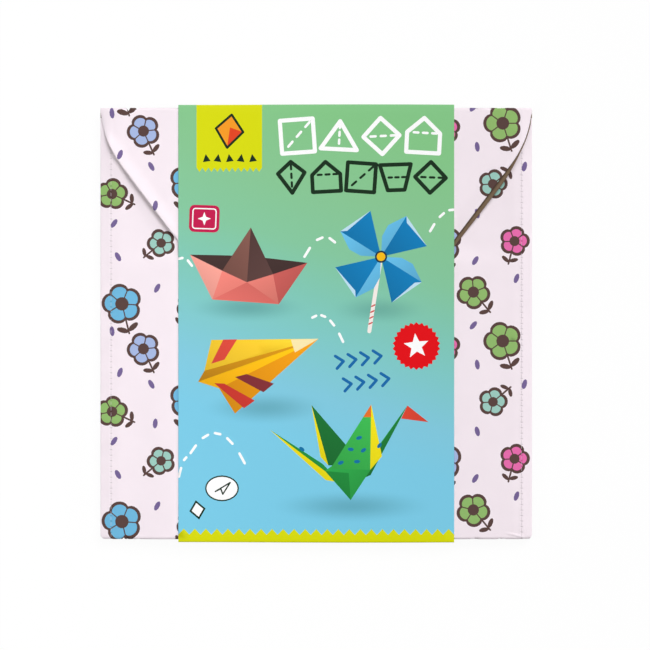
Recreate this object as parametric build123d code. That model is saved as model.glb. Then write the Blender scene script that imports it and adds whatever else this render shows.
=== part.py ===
"""A flat cloth envelope that holds a stack of square craft paper and its instruction booklet, closed by a
folded card sleeve that slides over it.

The pack lies on its back: +Z is up through its thickness, +Y runs from the bottom fold of the cloth to
the top fold, and the origin is under the middle of the pack, on the surface that it lies on. Sizes are in
millimetres.

The envelope is one piece of lined cotton. From the mouth of the front pocket the cloth runs down to the
bottom fold, up the back, over the top fold and down again as a long pointed flap. The front and the back
are pressed together and sewn along both sides, which leaves a thin flat flange outside each seam.
"""

from build123d import *
import math
import os

# Driving sizes of the paper inside.
paper_side = 200.0
sheet_count = 12
sheet_thickness = 0.2
booklet_inset = 1.0
booklet_thickness = 3.0
booklet_spine_radius = 1.2

# Driving sizes of the cloth envelope.
cloth = 0.9
side_ease = 0.5
shoulder_run = 3.5
seam_flange = 6.0
seam_drop = 0.8
foot_room = 8.25
head_room = 11.25
mouth_drop = 5.0
pressed_edge = 3.0
fold_gap = 0.2
top_ease = 0.2
flap_lift = 0.4
shoulder_bend = 2.0
flange_bend = 3.0
bottom_corner_radius = 2.5

# Driving sizes of the pointed flap. Each edge leaves the top fold at the lean, bends to the slant and ends
# at the rounded point.
flap_lean_deg = 3.0
flap_corner_radius = 52.0
flap_slant_deg = 37.0
flap_tip_radius = 15.0

# Driving sizes of the card sleeve.
sleeve_width = 140.5
card = 0.4
crease_radius = 0.3
glue_flap = 15.0
raw_edge_setback = 0.5
edge_slack = 1.35
back_clearance = 0.3
front_clearance = 0.3

# Plan sizes that follow.
pouch_width = paper_side + 2 * (side_ease + shoulder_run + seam_flange)
pouch_height = paper_side + foot_room + head_room
half_width = pouch_width / 2
seam_x = half_width - seam_flange
shoulder_x = seam_x - shoulder_run
bottom_y = -pouch_height / 2
top_y = pouch_height / 2
mouth_y = top_y - mouth_drop
paper_y = bottom_y + foot_room + paper_side / 2
foot_y = paper_y - paper_side / 2 - side_ease
head_y = paper_y + paper_side / 2 + side_ease
booklet_side = paper_side - 2 * booklet_inset

# Levels through the thickness, from the surface up.
stack_thickness = sheet_count * sheet_thickness
back_outer = 2 * card + back_clearance
back_inner = back_outer + cloth
booklet_top = back_inner + booklet_thickness
paper_top = booklet_top + stack_thickness
front_inner = paper_top + top_ease
front_outer = front_inner + cloth
flap_inner = front_outer + flap_lift
flap_outer = flap_inner + cloth
seam_z = front_inner - seam_drop
sleeve_top = flap_outer + front_clearance + card
sleeve_height = pouch_height + 2 * (edge_slack + card)

# Room past the cloth that a cutting prism reaches, so that it cuts right through.
past = 5.0


def draped_line(level, offset, reach):
    """The line across the pack of a cloth face: flat over the paper at the level, down or up a slanted
    shoulder at each side, and flat again over the flange. The offset is how far the face lies outside
    the inner face of its own panel, and every bend is concentric with the one under it."""
    side = 1 if level > seam_z else -1
    rise = abs(level - seam_z)
    slant = math.atan2(rise, shoulder_run)
    shift = offset * math.tan(slant / 2)
    outer, inner = seam_x + shift, shoulder_x + shift
    high = level + side * offset
    low = seam_z + side * offset
    points = [(-reach, low), (-outer, low), (-inner, high), (inner, high), (outer, low), (reach, low)]
    hollow = max(flange_bend - offset, 0)
    crown = shoulder_bend + offset
    return points, [hollow, crown, crown, hollow]


def band_between(lower, upper, y_low, y_high):
    """The space between two draped lines, carried along the pack from one y to the other. The two lines
    either end one above the other, or meet at the seams."""
    with BuildSketch(Plane.XZ) as section:
        with BuildLine():
            top = FilletPolyline(*upper[0], radius=upper[1])
            bottom = FilletPolyline(*lower[0], radius=lower[1])
            if upper[0][0] != lower[0][0]:
                Line(bottom @ 0, top @ 0)
                Line(bottom @ 1, top @ 1)
        make_face()
    return Pos(0, y_high, 0) * extrude(section.sketch, amount=y_high - y_low)


def lining_line(level):
    """The inner face of the front or the back, from seam to seam, where the two panels meet."""
    points = [(-seam_x, seam_z), (-shoulder_x, level), (shoulder_x, level), (seam_x, seam_z)]
    return points, [shoulder_bend, shoulder_bend]


def outside_fold(lining_level, end_y, paper_end_y, offset):
    """The space beyond and under one fold, across the whole width, which shapes the fold when it is cut
    away. The fold is pressed flat and turns through half a small circle. Under the pressed edge the lower
    face is level, and then it slants down to the back at the paper's end. The offset is how far the faces
    lie outside the inner faces of the cloth: nothing for the hollow, and the cloth for the whole."""
    side = 1 if end_y > 0 else -1
    high, low = lining_level + offset, back_inner - offset
    thickness = fold_gap + 2 * offset
    turn_y = end_y - side * (cloth - offset + thickness / 2)
    round_y = turn_y + side * thickness / 2
    heel_y = end_y - side * pressed_edge
    slant = math.atan2(lining_level - fold_gap - back_inner, abs(heel_y - paper_end_y))
    shift = side * offset * math.tan(slant / 2)
    foot_run = side * past / math.tan(slant)
    far_y = end_y + side * past
    points = [(turn_y, high - thickness), (heel_y + shift, high - thickness)]
    points += [(paper_end_y + shift - foot_run, low - past), (far_y, low - past)]
    points += [(far_y, high + past), (turn_y, high + past), (turn_y, high)]
    heel_bend = max(flange_bend - offset, 0)
    with BuildSketch(Plane.YZ) as section:
        with BuildLine():
            FilletPolyline(*points, radius=[heel_bend, 0, 0, 0, 0])
            ThreePointArc(points[-1], (round_y, high - thickness / 2), points[0])
        make_face()
    reach = half_width + past
    return Pos(-reach, 0, 0) * extrude(section.sketch, amount=2 * reach)


def flap_outline():
    """The flap's plan: full width at the top fold, a wide bend at each corner, two straight slanted edges
    and a rounded point."""
    lean, slant = math.radians(flap_lean_deg), math.radians(flap_slant_deg)
    bend_y = top_y + flap_corner_radius * math.sin(lean)
    bend_x = half_width - flap_corner_radius * math.cos(lean)
    bend_turn = flap_slant_deg - flap_lean_deg
    edge_x = bend_x + flap_corner_radius * math.cos(slant)
    edge_y = bend_y - flap_corner_radius * math.sin(slant)
    apex_y = edge_y - edge_x / math.tan(slant)
    tip_y = apex_y + flap_tip_radius / math.sin(slant)
    touch_x = flap_tip_radius * math.cos(slant)
    touch_y = tip_y - flap_tip_radius * math.sin(slant)
    with BuildSketch() as plan:
        with BuildLine():
            corner = CenterArc((bend_x, bend_y), flap_corner_radius, -flap_lean_deg, -bend_turn)
            slanted = Line(corner @ 1, (touch_x, touch_y))
            tip = CenterArc((0, tip_y), flap_tip_radius, -flap_slant_deg, -(180 - 2 * flap_slant_deg))
            other = Line(tip @ 1, (-edge_x, edge_y))
            left = CenterArc((-bend_x, bend_y), flap_corner_radius, 180 + flap_slant_deg, -bend_turn)
            Polyline(left @ 1, (-half_width, top_y + past), (half_width, top_y + past), corner @ 0)
        make_face()
    return plan.sketch


def pouch_outline():
    """The pouch's plan: square at the top fold, with both corners rounded off at the bottom fold."""
    with BuildSketch() as plan:
        Rectangle(pouch_width, pouch_height)
        fillet(plan.vertices().group_by(Axis.Y)[0], bottom_corner_radius)
    return plan.sketch


def make_cloth_pouch():
    """The sewn envelope: pocket, back, top fold and flap as one folded piece. The flap's outline starts at
    the top fold, so it cuts the upper layer of the fold too, above the split between the two layers."""
    edge = half_width
    back_out = draped_line(back_inner, cloth, edge)
    back_in = draped_line(back_inner, 0, edge + past)
    front_out = draped_line(front_inner, cloth, edge)
    flap_in = draped_line(front_inner, cloth + flap_lift, edge)
    flap_out = draped_line(front_inner, 2 * cloth + flap_lift, edge)

    bottom_out = outside_fold(front_inner, bottom_y, foot_y, cloth)
    bottom_in = outside_fold(front_inner, bottom_y, foot_y, 0)
    top_out = outside_fold(flap_inner, top_y, head_y, cloth)
    top_in = outside_fold(flap_inner, top_y, head_y, 0)

    pocket = band_between(back_out, front_out, bottom_y - past, mouth_y) - bottom_out - top_out
    hollow = band_between(lining_line(back_inner), lining_line(front_inner), bottom_y - past, mouth_y)
    pocket = pocket - (hollow - bottom_in - top_in)

    fold = band_between(back_out, flap_out, mouth_y, top_y + past) - top_out
    under_flap = draped_line(front_inner, cloth + flap_lift, edge + past)
    fold_hollow = band_between(back_in, under_flap, mouth_y, top_y + past) - top_in
    fold = fold - fold_hollow

    flap_prism = extrude(flap_outline(), amount=sleeve_top + past)
    split_z = seam_z + (cloth + flap_lift) / 2
    over_split = Pos(0, 0, split_z + sleeve_top / 2) * Box(pouch_width + past, pouch_height + past, sleeve_top)
    fold = fold - (over_split - flap_prism)
    flap = band_between(flap_in, flap_out, bottom_y, mouth_y) & flap_prism
    pouch_prism = extrude(pouch_outline(), amount=sleeve_top + past)
    return (pocket + fold + flap) & pouch_prism


def make_card_sleeve():
    """The card sleeve, folded from one strip. The strip starts as a narrow flap glued to the inside of the
    back panel, turns up as the bottom edge, crosses the front, turns down the top edge and runs along the
    back to its raw edge, just short of the bottom crease. The glue makes it one closed ring, so its
    section is the outline of the strip's outer faces less the outline of its inner faces."""
    outer_y = sleeve_height / 2
    inner_y = outer_y - card
    outer_bend = crease_radius + card
    raw_y = raw_edge_setback + outer_bend - outer_y
    glue_y = glue_flap - outer_y
    outside = [(-outer_y, card), (-outer_y, sleeve_top), (outer_y, sleeve_top), (outer_y, 0)]
    outside += [(raw_y, 0), (raw_y, card)]
    inside = [(-inner_y, 2 * card), (-inner_y, sleeve_top - card), (inner_y, sleeve_top - card)]
    inside += [(inner_y, card), (glue_y, card), (glue_y, 2 * card)]
    with BuildSketch(Plane.YZ) as section:
        with BuildLine():
            FilletPolyline(*outside, radius=[outer_bend] * 4 + [0, 0], close=True)
        make_face()
        with BuildLine():
            FilletPolyline(*inside, radius=[crease_radius] * 4 + [0, 0], close=True)
        make_face(mode=Mode.SUBTRACT)
    return Pos(-sleeve_width / 2, 0, 0) * extrude(section.sketch, amount=sleeve_width)


def make_paper_stack():
    """The square sheets of craft paper, squared up into one stack on top of the booklet."""
    return Pos(0, paper_y, (booklet_top + paper_top) / 2) * Box(paper_side, paper_side, stack_thickness)


def make_instruction_booklet():
    """The folded booklet under the sheets, flat on the cloth of the back, its rounded spine at the left."""
    middle = (back_inner + booklet_top) / 2
    block = Pos(0, paper_y, middle) * Box(booklet_side, booklet_side, booklet_thickness)
    spine = block.edges().filter_by(Axis.Y).group_by(Axis.X)[0]
    return fillet(spine, booklet_spine_radius)


def write_parts():
    """Each piece is one file, named for its piece."""
    pieces = {
        "cloth_pouch": make_cloth_pouch(),
        "paper_stack": make_paper_stack(),
        "instruction_booklet": make_instruction_booklet(),
        "card_sleeve": make_card_sleeve(),
    }
    os.makedirs("parts", exist_ok=True)
    for name, piece in pieces.items():
        export_step(piece, f"parts/{name}.step")


write_parts()
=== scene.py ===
import math

import bpy
import numpy as np
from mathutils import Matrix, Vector, geometry


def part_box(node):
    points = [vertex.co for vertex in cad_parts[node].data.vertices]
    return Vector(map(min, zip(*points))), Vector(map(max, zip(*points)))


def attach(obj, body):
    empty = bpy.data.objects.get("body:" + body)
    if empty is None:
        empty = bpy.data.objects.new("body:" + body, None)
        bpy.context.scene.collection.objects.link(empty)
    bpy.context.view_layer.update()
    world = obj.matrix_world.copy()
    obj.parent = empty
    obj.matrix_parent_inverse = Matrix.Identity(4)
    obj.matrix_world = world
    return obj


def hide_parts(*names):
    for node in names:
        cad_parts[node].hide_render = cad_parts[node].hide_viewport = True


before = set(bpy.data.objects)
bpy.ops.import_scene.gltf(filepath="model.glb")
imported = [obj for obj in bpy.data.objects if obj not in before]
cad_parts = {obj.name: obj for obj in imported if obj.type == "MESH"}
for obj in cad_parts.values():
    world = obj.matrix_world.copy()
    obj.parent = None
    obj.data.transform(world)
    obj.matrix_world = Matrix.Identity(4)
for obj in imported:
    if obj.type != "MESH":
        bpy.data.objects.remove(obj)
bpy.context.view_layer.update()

MM = 0.001


# The cut cloth.
# The envelope is one long piece of lined cotton, cut 220 mm wide with a pointed end for the flap, and folded
# twice. Here it is laid out flat: u runs across it and v along it, both in millimetres, and v is the height
# on the finished front, so it falls from the pocket's mouth down, up the back and over into the flap.

def ramp(value, start, end):
    """0 before the start, 1 past the end, and a smooth S between them."""
    t = np.clip((value - start) / (end - start), 0, 1)
    return t * t * (3 - 2 * t)


cloth_low, cloth_high = (np.array(corner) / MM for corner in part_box("cloth_pouch"))
paper_low, paper_high = (np.array(corner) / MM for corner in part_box("paper_stack"))
cloth_thickness, fold_gap = 0.9, 0.2  # the print with its lining, and the air inside a fold
ease, under_ease = 0.2, 0.15  # room over the paper, and how much lower the back lies, clear of the booklet
mouth_drop, seam_drop = 5.0, 0.4  # from the top fold to the pocket's mouth, and by which the seams are drawn in
pressed_edge = 3.0  # how far in from a fold the back has its full rise
half_width, top_y, bottom_y = cloth_high[0], cloth_high[1], cloth_low[1]
seam_x, shoulder_x = half_width - 6.0, half_width - 9.5  # the side seam, and the edge of what the paper lifts
back_level = cloth_low[2] + cloth_thickness / 2
front_level = paper_high[2] + ease + cloth_thickness / 2
flap_level = cloth_high[2] - cloth_thickness / 2
fold_radius = (cloth_thickness + fold_gap) / 2
bottom_turn_y = bottom_y + cloth_thickness / 2 + fold_radius
top_turn_y = top_y - cloth_thickness / 2 - fold_radius


def pressed(y, bottom_rise, top_rise):
    """How far the back stands up at y: nothing under the paper, and the whole rise at each pressed end."""
    foot = ramp(y, paper_low[1] - ease, bottom_y + pressed_edge)
    head = ramp(y, paper_high[1] + ease, top_y - pressed_edge)
    return bottom_rise * foot + top_rise * head


back_y = np.linspace(bottom_turn_y, top_turn_y, 4000)
back_z = pressed(back_y, front_level - 2 * fold_radius - back_level, flap_level - 2 * fold_radius - back_level)
back_length = np.concatenate([[0], np.cumsum(np.hypot(np.diff(back_y), np.diff(back_z)))])

v_mouth = top_y - mouth_drop
v_bottom_fold = bottom_turn_y
v_back = v_bottom_fold - math.pi * fold_radius
v_top_fold = v_back - back_length[-1]
v_flap = v_top_fold - math.pi * fold_radius
way_round = top_turn_y - v_flap

flap_corner_radius, flap_tip_radius = 52.0, 15.0
flap_lean, flap_slant = math.radians(3.0), math.radians(37.0)
corner_y = top_y + flap_corner_radius * math.sin(flap_lean)
corner_x = half_width - flap_corner_radius * math.cos(flap_lean)
slant_x = corner_x + flap_corner_radius * math.cos(flap_slant)
slant_y = corner_y - flap_corner_radius * math.sin(flap_slant)
tip_y = slant_y - slant_x / math.tan(flap_slant) + flap_tip_radius / math.sin(flap_slant)
touch_y = tip_y - flap_tip_radius * math.sin(flap_slant)
v_tip = tip_y - flap_tip_radius - way_round


def cut_half_width(v):
    """Half the width of the cut cloth at v: the full width, then the wide arc of the flap's corner, then its
    straight slanted edge, then the arc of its tip."""
    y = v + way_round
    corner = corner_x + np.sqrt(np.maximum(flap_corner_radius ** 2 - (corner_y - y) ** 2, 0))
    slanted = slant_x - (slant_y - y) * math.tan(flap_slant)
    tip = np.sqrt(np.maximum(flap_tip_radius ** 2 - (tip_y - y) ** 2, 0))
    return np.select([y > top_y, y > slant_y, y > touch_y], [half_width, corner, slanted], tip)


def edge_stretch(v, step=0.05):
    """How much longer the cut's edge is than the stretch of v that it spans, from the edge's slope there."""
    slope = (cut_half_width(v + step) - cut_half_width(v - step)) / (2 * step)
    return np.sqrt(1 + slope ** 2)


def edge_distance(u, v):
    """How far a point is from the edge of the cut, square to that edge: the distance across the cloth, times
    the cosine of the edge's slope, or the distance to the mouth if that is less."""
    across = (cut_half_width(v) - np.abs(u)) / edge_stretch(v)
    return np.minimum(np.maximum(across, 0), v_mouth - v)


def ripples(x, y, seed, longest, shortest, count=9):
    """Shallow uneven ripples, from -1 to 1: a sum of sine waves in chance directions, with lengths spread
    from the longest to the shortest."""
    chance = np.random.default_rng(seed)
    turn = chance.uniform(0, math.pi, count)
    start = chance.uniform(0, 2 * math.pi, count)
    length = np.geomspace(longest, shortest, count)
    phase = (np.outer(x, np.cos(turn)) + np.outer(y, np.sin(turn))) * 2 * math.pi / length + start
    return (np.sin(phase) * np.sqrt(length / longest)).mean(axis=1)


sleeve_half, sleeve_end, sleeve_top = np.array(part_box("card_sleeve")[1]) / MM


def front_relief(x, y):
    """How far the front stands off its flat level: faint ripples, a swelling that fills the room under the
    sleeve's long edges and stands a little higher outside them, lower where the flap lies over it, puckers
    that the side seams draw in, and a small curved fold that runs into the bottom right corner."""
    ripple_height, pucker_height, pucker_pitch, fold_height, fold_width = 0.12, 0.07, 10.5, 0.4, 0.45
    under_flap, below_flap, outside_sleeve = 0.25, 1.3, 0.2
    side = np.abs(x)
    open_cloth = 0.2 + 0.8 * ramp(side, sleeve_half, sleeve_half + 8)
    faint = ripple_height * ripples(x, y, seed=3, longest=60, shortest=11)
    flap_ends = slant_y - (slant_x - sleeve_half) / math.tan(flap_slant)
    swelling = under_flap + below_flap * ramp(y, flap_ends - 2, flap_ends - 12)
    swelling = swelling * ramp(side, sleeve_half - 3, sleeve_half)
    swelling = swelling + outside_sleeve * ramp(side, sleeve_half, sleeve_half + 2.5)
    swelling = swelling * ramp(side, seam_x, sleeve_half + 2)
    inner = np.clip(seam_x - side, 0, None)
    puckers = pucker_height * np.sin(2 * math.pi * y / pucker_pitch + 1.8 * np.sin(y / 17)) * np.exp(-inner / 7)
    puckers = puckers * ramp(side, seam_x + 5, seam_x - 1)
    fold_line = bottom_y + 2.9 - 1.7 * ramp(x, seam_x - 8, seam_x + 2)
    fold = fold_height * np.exp(-((y - fold_line) / fold_width) ** 2) * ramp(x, seam_x - 9, seam_x - 3)
    return (faint + puckers) * open_cloth + swelling + fold * ramp(x, seam_x + 2.5, seam_x)


def layers(x, y):
    """The heights of the front, the back and the flap over a point of the pack. The front is level, drops a
    little to the side seams and droops outside them, and the flap lies on it. The back lies flat under the
    paper, and rises on all four sides to the layer over it, as the soft greater one of its two rises."""
    left_droop, right_droop, ripple_height, softness = 1.2, 2.3, 0.08, 0.3
    side = np.abs(x)
    over_paper = ramp(side, seam_x + 0.2, shoulder_x - 0.4)
    droop = np.where(x > 0, right_droop, left_droop) * np.clip((side - seam_x - 0.8) / (half_width - seam_x), 0, 1)
    front = front_level - seam_drop * (1 - over_paper) - droop + front_relief(x, y)
    flap = front + flap_level - front_level
    sewn = front_level - seam_drop - droop - cloth_thickness
    across = sewn + (back_level - sewn) * ramp(side, seam_x + 0.2, shoulder_x + 0.5)
    low_end, high_end = front - 2 * fold_radius, flap - 2 * fold_radius
    along = back_level + pressed(y, low_end - back_level, high_end - back_level)
    along = along + ripple_height * ripples(x, y, seed=11, longest=70, shortest=16)
    back = (across + along + np.hypot(across - along, softness) - softness) / 2 - under_ease
    ceiling = front - cloth_thickness + (flap - front) * ramp(y, v_mouth - 1, top_y - pressed_edge)
    return front, np.minimum(back, ceiling), flap


def below_top(v):
    """How far down the flap a point is from the pack's top."""
    return top_y - way_round - v


def edge_lift(u, v):
    """How far the flap's slanted edges stand up, where the sleeve doesn't press them down. The left one curls
    up beside the sleeve, less so at one place. The right one rises over a strip a little wider, more slowly
    away from the sleeve, and its last 4 mm turn over."""
    on_right, below = u > 0, below_top(v)
    height, strip, free_run = (np.where(on_right, right, left) for right, left in ((3.4, 2.2), (9, 6.5), (24, 3.5)))
    pressed_run, turned_depth, turned_strip = 1.2, 1.1, 4
    free = np.clip((np.abs(u) - sleeve_half - pressed_run) / free_run, 0, 1)
    lift = height * np.clip(1 - edge_distance(u, v) / strip, 0, 1) ** 1.5
    lift = lift - turned_depth * on_right * np.clip(1 - edge_distance(u, v) / turned_strip, 0, 1) ** 2
    left_start = ramp(below, 9, 20) * (1 - 0.3 * np.exp(-((below - 27) / 5) ** 2))
    return lift * free * (2 - free) * np.where(on_right, ramp(below, 5, 32), left_start)


def pressed_corner(u, v):
    """1 along the flap's left edge near the top, where it is pressed flat on the front, and 0 elsewhere."""
    return ramp(below_top(v), 1, 5) * ramp(below_top(v), 19, 10) * (u < 0)


def folded(u, v):
    """Where a point of the flat cloth lies in the finished envelope. The cloth runs down the front, through a
    half circle, up the back, through another half circle and down as the flap. A bend's radius at each x is
    half the distance between the two layers that it joins. The flap's edge rolls down as a square, and the
    corners of the bottom fold are drawn in on a circle."""
    roll_depth, roll_width, corner_radius = 0.3 + 0.12 * pressed_corner(u, v), 1.6, 2.5
    flat_y = np.select([v > v_bottom_fold, v > v_back, v > v_top_fold, v > v_flap],
                       [v, bottom_turn_y, np.interp(v_back - v, back_length, back_y), top_turn_y], v + way_round)
    front, back, flap = layers(u, flat_y)
    low_bend, high_bend = (front - back) / 2, (flap - back) / 2
    low_angle = np.clip((v_bottom_fold - v) / fold_radius, 0, math.pi)
    high_angle = np.clip((v_top_fold - v) / fold_radius, 0, math.pi)
    y = flat_y - low_bend * np.sin(low_angle) + high_bend * np.sin(high_angle)
    roll = roll_depth * np.clip(1 - edge_distance(u, v) / roll_width, 0, 1) ** 2
    z = np.select([v > v_back, v > v_flap], [
        front - low_bend * (1 - np.cos(low_angle)),
        back + high_bend * (1 - np.cos(high_angle)),
    ], flap + edge_lift(u, v) - roll)

    side = np.abs(u)
    above = np.clip(y - bottom_y, 0, corner_radius)
    drawn_in = corner_radius - np.sqrt(corner_radius ** 2 - (corner_radius - above) ** 2)
    beyond = np.clip((side - seam_x) / (half_width - seam_x), 0, 1)
    x = np.sign(u) * (side - drawn_in * beyond)
    return np.column_stack([x, y, z])


def directions(u, v, step=0.02):
    """Which way the folded cloth runs at a point, across it and along it, as small differences."""
    before, after = np.maximum(v - step, v_tip), np.minimum(v + step, v_mouth)
    return folded(u + step, v) - folded(u - step, v), folded(u, after) - folded(u, before)


def unit(vectors, least=1e-12):
    """The vectors at a length of 1. None is divided by less than the least length."""
    return vectors / np.maximum(np.linalg.norm(vectors, axis=1, keepdims=True), least)


# The printed figures of the cloth.
# Screen-printed flowers on a short stalk, each with a brown outline and a flat fill, and small violet leaves,
# scattered over a repeat. The repeat goes four times into the way round the pack, so that the print of the
# flap meets the print of the pocket under it. Edges of ink are cut into the mesh, so they stay sharp.

def linear(code):
    """An sRGB hex colour as the linear red, green, blue and alpha that a shader takes."""
    srgb = np.array([int(code[i:i + 2], 16) for i in (1, 3, 5)]) / 255
    rgb = np.where(srgb <= 0.04045, srgb / 12.92, ((srgb + 0.055) / 1.055) ** 2.4)
    return np.array([*rgb, 1.0])


def placed(points, x, y, turn=0.0, scale=1.0):
    """An outline scaled, turned by that many degrees and moved."""
    a = math.radians(turn)
    spin = np.array([[math.cos(a), math.sin(a)], [-math.sin(a), math.cos(a)]])
    return np.asarray(points, float) * scale @ spin + (x, y)


def polar(radius, angle):
    """Points round the origin, each at its radius and angle."""
    return np.column_stack([radius * np.cos(angle), radius * np.sin(angle)])


def disc(radius_x, radius_y, count=24):
    """A closed ellipse about the origin."""
    return polar(1, np.arange(count) * 2 * math.pi / count) * (radius_x, radius_y)


def bar(start, end, width, cap=5):
    """A straight stroke of ink with round ends."""
    start, end = np.array(start, float), np.array(end, float)
    heading = math.atan2(*(end - start)[::-1])
    round_end = width / 2 * polar(1, heading + np.linspace(-math.pi / 2, math.pi / 2, cap))
    return np.vstack([end + round_end, start - round_end])


def leaf(length, width, count=6):
    """A leaf with two pointed ends: two sine curves between them."""
    t = np.linspace(0, math.pi, count)
    upper = np.column_stack([-length / 2 * np.cos(t), width / 2 * np.sin(t)])
    return np.vstack([upper, -upper[1:-1]])


def petals(radius, inset=0.0, count=40):
    """A flower with five round petals: the radius swells as the size of a cosine that turns at half speed."""
    a = np.arange(count) * 2 * math.pi / count
    return polar(radius * (0.80 + 0.20 * np.abs(np.cos(2.5 * a)) ** 0.7) - inset, a)


outline_ink = linear("#5B4440")
leaf_ink = linear("#776596")
flower_inks = {"sky": linear("#72BBE1"), "green": linear("#94BD6F"), "pink": linear("#EC6FB0"),
               "aqua": linear("#A0CFC3"), "periwinkle": linear("#A9BBE4")}


def flower(x, y, radius, turn, ink):
    """The fields of one flower, in the order of printing: stalk, two leaves part way down it, outline, fill,
    the lines between the petals, and the centre."""
    line = 1.6
    stalk = 1.32 * radius + 1.8
    fields = [
        (bar((0, 0), (0, -stalk), 0.9), outline_ink),
        (placed(leaf(0.6 * radius, 0.27 * radius), 0.27 * radius, -1.2 * radius - 0.2, 28), outline_ink),
        (placed(leaf(0.6 * radius, 0.27 * radius), -0.27 * radius, -1.2 * radius - 0.7, 152), outline_ink),
        (placed(petals(radius), 0, 0, 90), outline_ink),
        (placed(petals(radius, line), 0, 0, 90), ink),
    ]
    for k in range(5):
        crease = placed([(0.2 * radius, -0.3), (0.8 * radius, -0.3), (0.8 * radius, 0.3), (0.2 * radius, 0.3)],
                        0, 0, 126 + 72 * k)
        fields.append((crease, outline_ink))
    fields.append((disc(0.33 * radius, 0.33 * radius, 16), outline_ink))
    return [(placed(points, x, y, turn), colour) for points, colour in fields]


repeat_u, repeat_v = half_width, way_round / 4
# Each flower's place in the repeat, its radius, its turn and its colour, then each leaf's place and turn.
flowers = [
    (11, 10, 10.4, 14, "sky"), (46, 9, 7.6, -28, "pink"), (80, 16, 8.8, 40, "green"),
    (31, 41, 7.4, -50, "aqua"), (64, 41, 10.4, 8, "periwinkle"), (101, 42, 7.8, -15, "pink"),
    (6, 66, 8.2, 65, "green"), (45, 72, 10.0, -12, "sky"), (90, 71, 7.6, 130, "aqua"),
    (22, 98, 8.6, 24, "periwinkle"), (66, 99, 7.6, -70, "pink"), (95, 102, 10.0, 18, "green"),
]
leaves = [
    (29, 18, 62), (60, 24, 112), (102, 23, 70), (9, 34, 118), (45, 27, 95), (44, 52, 60), (81, 32, 58),
    (82, 56, 104), (28, 60, 84), (7, 51, 55), (66, 64, 66), (62, 84, 110), (26, 80, 120), (106, 80, 76),
    (10, 86, 70), (46, 92, 64), (82, 90, 98), (45, 106, 116), (80, 110, 50), (6, 107, 96),
]


def repeat_fields():
    """Every flower and leaf on the cut cloth: the repeat set out over it, without what misses the cloth."""
    fields = []
    for column in (-1, 0):
        for row in range(-5, 1):
            base_u, base_v = column * repeat_u, row * repeat_v
            for u, v, radius, turn, ink in flowers:
                if v_tip - 20 < base_v + v < v_mouth + 20:
                    fields += flower(base_u + u, base_v + v, radius, turn, flower_inks[ink])
            for u, v, turn in leaves:
                if v_tip - 5 < base_v + v < v_mouth + 5:
                    fields.append((placed(leaf(5.2, 2.5), base_u + u, base_v + v, turn), leaf_ink))
    return fields


def inside(outline, points):
    """Which points lie in a closed outline: those from which a line to the right crosses it an odd number
    of times."""
    x, y = points[:, :1], points[:, 1:]
    x1, y1 = outline.T
    x2, y2 = np.roll(outline, -1, axis=0).T
    rise = np.where(y2 == y1, 1, y2 - y1)
    crossed = ((y1 > y) != (y2 > y)) & (x < x1 + (y - y1) * (x2 - x1) / rise)
    return crossed.sum(axis=1) % 2 == 1


def cut_and_print(outline, loose, lines, fields, kept):
    """A flat sheet as triangles, none of which crosses the cut line or the edge of a printed field. Returns
    its points, its triangles and the ink at each corner of each one, where no ink has alpha 0. A field may
    have a third value, the share by which its ink changes per millimetre in x and in y."""
    points, edges = [], []
    for line in [outline, *(field[0] for field in fields)]:
        first = len(points)
        points += [Vector(p) for p in line]
        edges += [(first + i, first + (i + 1) % len(line)) for i in range(len(line))]
    for line in lines:
        edges.append((len(points), len(points) + 1))
        points += [Vector(p) for p in line]
    points += [Vector(p) for p in loose]
    same_point = 1e-3
    flat, _, faces = geometry.delaunay_2d_cdt(points, edges, [], 0, same_point)[:3]
    flat = np.array([tuple(p) for p in flat])
    faces = np.array([face for face in faces if len(face) == 3])
    centres = flat[faces].mean(axis=1)
    wanted = kept(centres)
    faces, centres = faces[wanted], centres[wanted]
    used, faces = np.unique(faces, return_inverse=True)
    flat, faces = flat[used], faces.reshape(-1, 3)
    ink = np.zeros((len(faces), 3, 4))
    for field in fields:
        edge = field[0]
        near = np.flatnonzero(((centres > edge.min(axis=0)) & (centres < edge.max(axis=0))).all(axis=1))
        hit = near[inside(edge, centres[near])]
        ink[hit] = field[1]
        if len(field) == 3:
            away = (flat[faces[hit]] - edge.mean(axis=0)) @ np.array(field[2])
            ink[hit, :, :3] = np.clip(ink[hit, :, :3] * (1 + away[..., None]), 0, 1)
    return flat, faces, ink


def new_mesh(name, points, faces, ink=None, flat=None):
    """A mesh object in metres from points in millimetres. Its ink, if it has any, is a colour at each corner,
    and then its UV map is the place on the flat sheet, in metres."""
    mesh = bpy.data.meshes.new(name)
    mesh.from_pydata((points * MM).tolist(), [], faces.tolist())
    if ink is not None:
        colours = mesh.color_attributes.new("ink", "FLOAT_COLOR", "CORNER")
        colours.data.foreach_set("color", ink.astype(np.float32).ravel())
        uv = mesh.uv_layers.new(name="flat")
        uv.data.foreach_set("uv", (flat[faces.ravel()] * MM).astype(np.float32).ravel())
    mesh.polygons.foreach_set("use_smooth", np.ones(len(faces), bool))
    mesh.update()
    piece = bpy.data.objects.new(name, mesh)
    bpy.context.scene.collection.objects.link(piece)
    return piece


# The sewn envelope.
# Both faces of the folded cloth, joined round a soft rounded edge. Along the flap's right edge the lining rolls
# out past the print as a narrow lip, as it does when a lined flap is sewn inside out and turned.

def stations(start, end, step):
    """Evenly spaced values from start to end, about a step apart."""
    return np.linspace(start, end, max(2, int(round(abs(end - start) / step)) + 1))


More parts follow.
